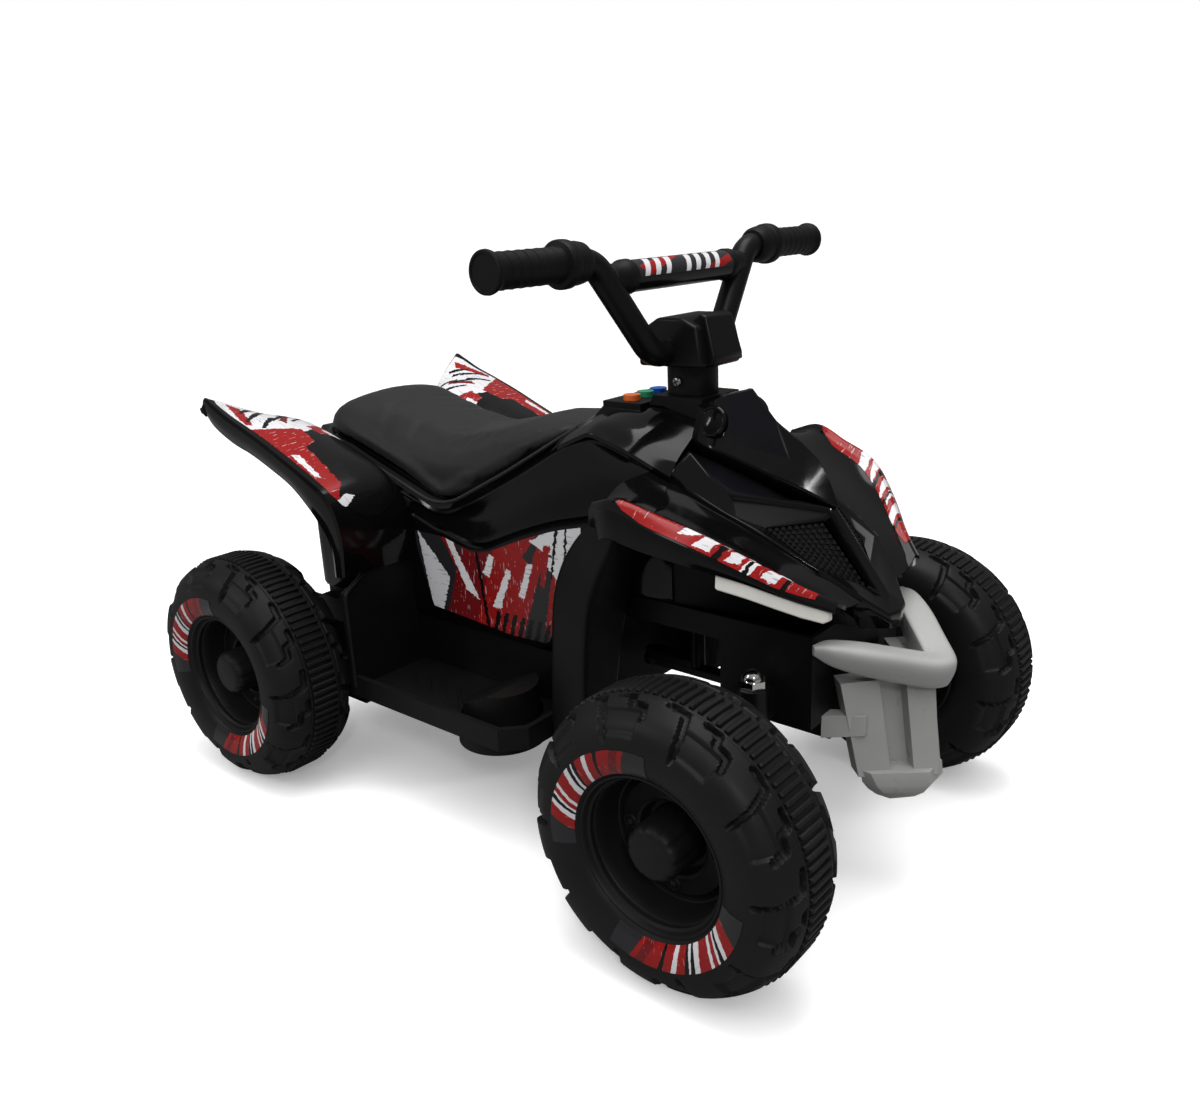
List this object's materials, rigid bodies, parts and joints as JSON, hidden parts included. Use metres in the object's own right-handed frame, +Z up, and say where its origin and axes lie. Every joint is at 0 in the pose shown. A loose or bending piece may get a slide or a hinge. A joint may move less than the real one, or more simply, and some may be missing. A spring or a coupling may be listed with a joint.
{
  "type": "kids quad bike",
  "caption": "Small battery ride-on quad bike for a toddler: fat moulded wheels, saddle seat, handlebar that steers the front wheels, footboards and a foot accelerator.",
  "frame": {"origin": "on the ground, under the middle of the toy's length and width", "axes": "+X forward, +Y to the rider's left, +Z up"},
  "size_m": [0.7245, 0.45, 0.497],
  "materials": {
    "gloss_body": "gloss black moulding",
    "matt_body": "fine grained black moulding",
    "wheel_plastic": "blow-moulded black plastic",
    "seat_vinyl": "matt black vinyl",
    "bumper_grey": "mid grey moulding",
    "light_white": "off-white moulding",
    "steel": "zinc plated",
    "bar_black": "black powder coat",
    "bright_nut": "bright plated",
    "grip_black": "soft black grip",
    "gear_nylon": "natural nylon",
    "battery_grey": "dark grey case",
    "button_orange": "orange",
    "button_green": "green",
    "button_blue": "blue"
  },
  "bodies": {
    "chassis": {"upper_body": "gloss_body", "tank_cover": "gloss_body", "front_cowl": "gloss_body", "dash_visor": "gloss_body", "front_fender_right": "gloss_body", "front_fender_left": "gloss_body", "rear_fender_right": "gloss_body", "rear_fender_left": "gloss_body", "lower_chassis": "matt_body", "footboard_right": "matt_body", "footboard_left": "matt_body", "front_pillar_right": "matt_body", "front_pillar_left": "matt_body", "dash_collar": "matt_body", "nose_grille": "matt_body", "seat_pan": "matt_body", "control_panel": "matt_body", "gearbox_case": "matt_body", "gearbox_cover": "matt_body", "seat_cushion": "seat_vinyl", "front_bumper": "bumper_grey", "light_strip_right": "light_white", "light_strip_left": "light_white", "rear_axle": "steel", "rear_axle_nuts": "steel", "pedal_pin": "steel", "drive_motor": "steel", "front_axle_beam": "bar_black", "battery": "battery_grey"},
    "steering": {"steering_column": "bar_black", "steering_sleeve": "matt_body", "stem_cover": "matt_body", "handlebar": "bar_black", "crossbar_pad": "matt_body", "grip_right": "grip_black", "grip_left": "grip_black", "steering_bolt": "steel"},
    "steering_link": {"steering_link": "bar_black"},
    "idler_gear": {"idler_gear": "gear_nylon"},
    "motor_pinion": {"motor_pinion": "gear_nylon"},
    "accelerator_pedal": {"accelerator_pedal": "matt_body"},
    "button_right": {"button_right": "button_orange"},
    "button_middle": {"button_middle": "button_green"},
    "button_left": {"button_left": "button_blue"},
    "knuckle_right": {"knuckle_right": "bar_black", "kingpin_nut_right": "bright_nut", "front_axle_nut_right": "steel"},
    "front_right_wheel": {"front_right_wheel": "wheel_plastic", "front_right_hub_cap": "wheel_plastic"},
    "rear_right_wheel": {"rear_right_wheel": "wheel_plastic", "rear_right_hub_cap": "wheel_plastic", "output_gear": "gear_nylon"},
    "knuckle_left": {"knuckle_left": "bar_black", "kingpin_nut_left": "bright_nut", "front_axle_nut_left": "steel"},
    "front_left_wheel": {"front_left_wheel": "wheel_plastic", "front_left_hub_cap": "wheel_plastic"},
    "rear_left_wheel": {"rear_left_wheel": "wheel_plastic", "rear_left_hub_cap": "wheel_plastic"}
  },
  "joints": [
    {"name": "steer", "type": "hinge", "parent": "chassis", "child": "steering", "pos_m": [0.13775, 0, 0.3], "axis": [0, 0, 1], "range_deg": [-25, 25]},
    {"name": "knuckle_right_turn", "type": "hinge", "parent": "chassis", "child": "knuckle_right", "pos_m": [0.24775, -0.088, 0.166], "axis": [0, 0, 1], "range_deg": [-25, 25]},
    {"name": "front_right_wheel_spin", "type": "hinge", "parent": "knuckle_right", "child": "front_right_wheel", "pos_m": [0.24775, -0.183, 0.11], "axis": [0, 1, 0], "continuous": true},
    {"name": "rear_right_wheel_spin", "type": "hinge", "parent": "chassis", "child": "rear_right_wheel", "pos_m": [-0.25225, -0.183, 0.11], "axis": [0, 1, 0], "continuous": true},
    {"name": "knuckle_left_turn", "type": "hinge", "parent": "chassis", "child": "knuckle_left", "pos_m": [0.24775, 0.088, 0.166], "axis": [0, 0, 1], "range_deg": [-25, 25]},
    {"name": "front_left_wheel_spin", "type": "hinge", "parent": "knuckle_left", "child": "front_left_wheel", "pos_m": [0.24775, 0.183, 0.11], "axis": [0, 1, 0], "continuous": true},
    {"name": "rear_left_wheel_spin", "type": "hinge", "parent": "chassis", "child": "rear_left_wheel", "pos_m": [-0.25225, 0.183, 0.11], "axis": [0, 1, 0], "continuous": true},
    {"name": "link_turn", "type": "hinge", "parent": "knuckle_right", "child": "steering_link", "pos_m": [0.20275, -0.088, 0.134], "axis": [0, 0, 1], "range_deg": [-25, 25]},
    {"name": "idler_spin", "type": "hinge", "parent": "chassis", "child": "idler_gear", "pos_m": [-0.21475, -0.11, 0.11], "axis": [0, 1, 0], "continuous": true},
    {"name": "pinion_spin", "type": "hinge", "parent": "chassis", "child": "motor_pinion", "pos_m": [-0.181, -0.1, 0.11], "axis": [0, 1, 0], "continuous": true},
    {"name": "pedal_press", "type": "hinge", "parent": "chassis", "child": "accelerator_pedal", "pos_m": [-0.01825, -0.11, 0.099], "axis": [0, 1, 0], "range_deg": [0, 8], "stiffness_Nm_per_rad": 0.8, "springref_deg": -6.88},
    {"name": "button_right_press", "type": "slide", "parent": "chassis", "child": "button_right", "axis": [0, 0, -1], "range_m": [0, 0.002], "stiffness_N_per_m": 250, "springref_m": -0.001},
    {"name": "button_middle_press", "type": "slide", "parent": "chassis", "child": "button_middle", "axis": [0, 0, -1], "range_m": [0, 0.002], "stiffness_N_per_m": 250, "springref_m": -0.001},
    {"name": "button_left_press", "type": "slide", "parent": "chassis", "child": "button_left", "axis": [0, 0, -1], "range_m": [0, 0.002], "stiffness_N_per_m": 250, "springref_m": -0.001}
  ],
  "couplings": [
    {"joint": "knuckle_right_turn", "follows": "steer", "ratio": 1},
    {"joint": "knuckle_left_turn", "follows": "steer", "ratio": 1},
    {"joint": "link_turn", "follows": "steer", "ratio": -1},
    {"joint": "idler_spin", "follows": "rear_right_wheel_spin", "ratio": -4},
    {"joint": "pinion_spin", "follows": "rear_right_wheel_spin", "ratio": 16}
  ]
}
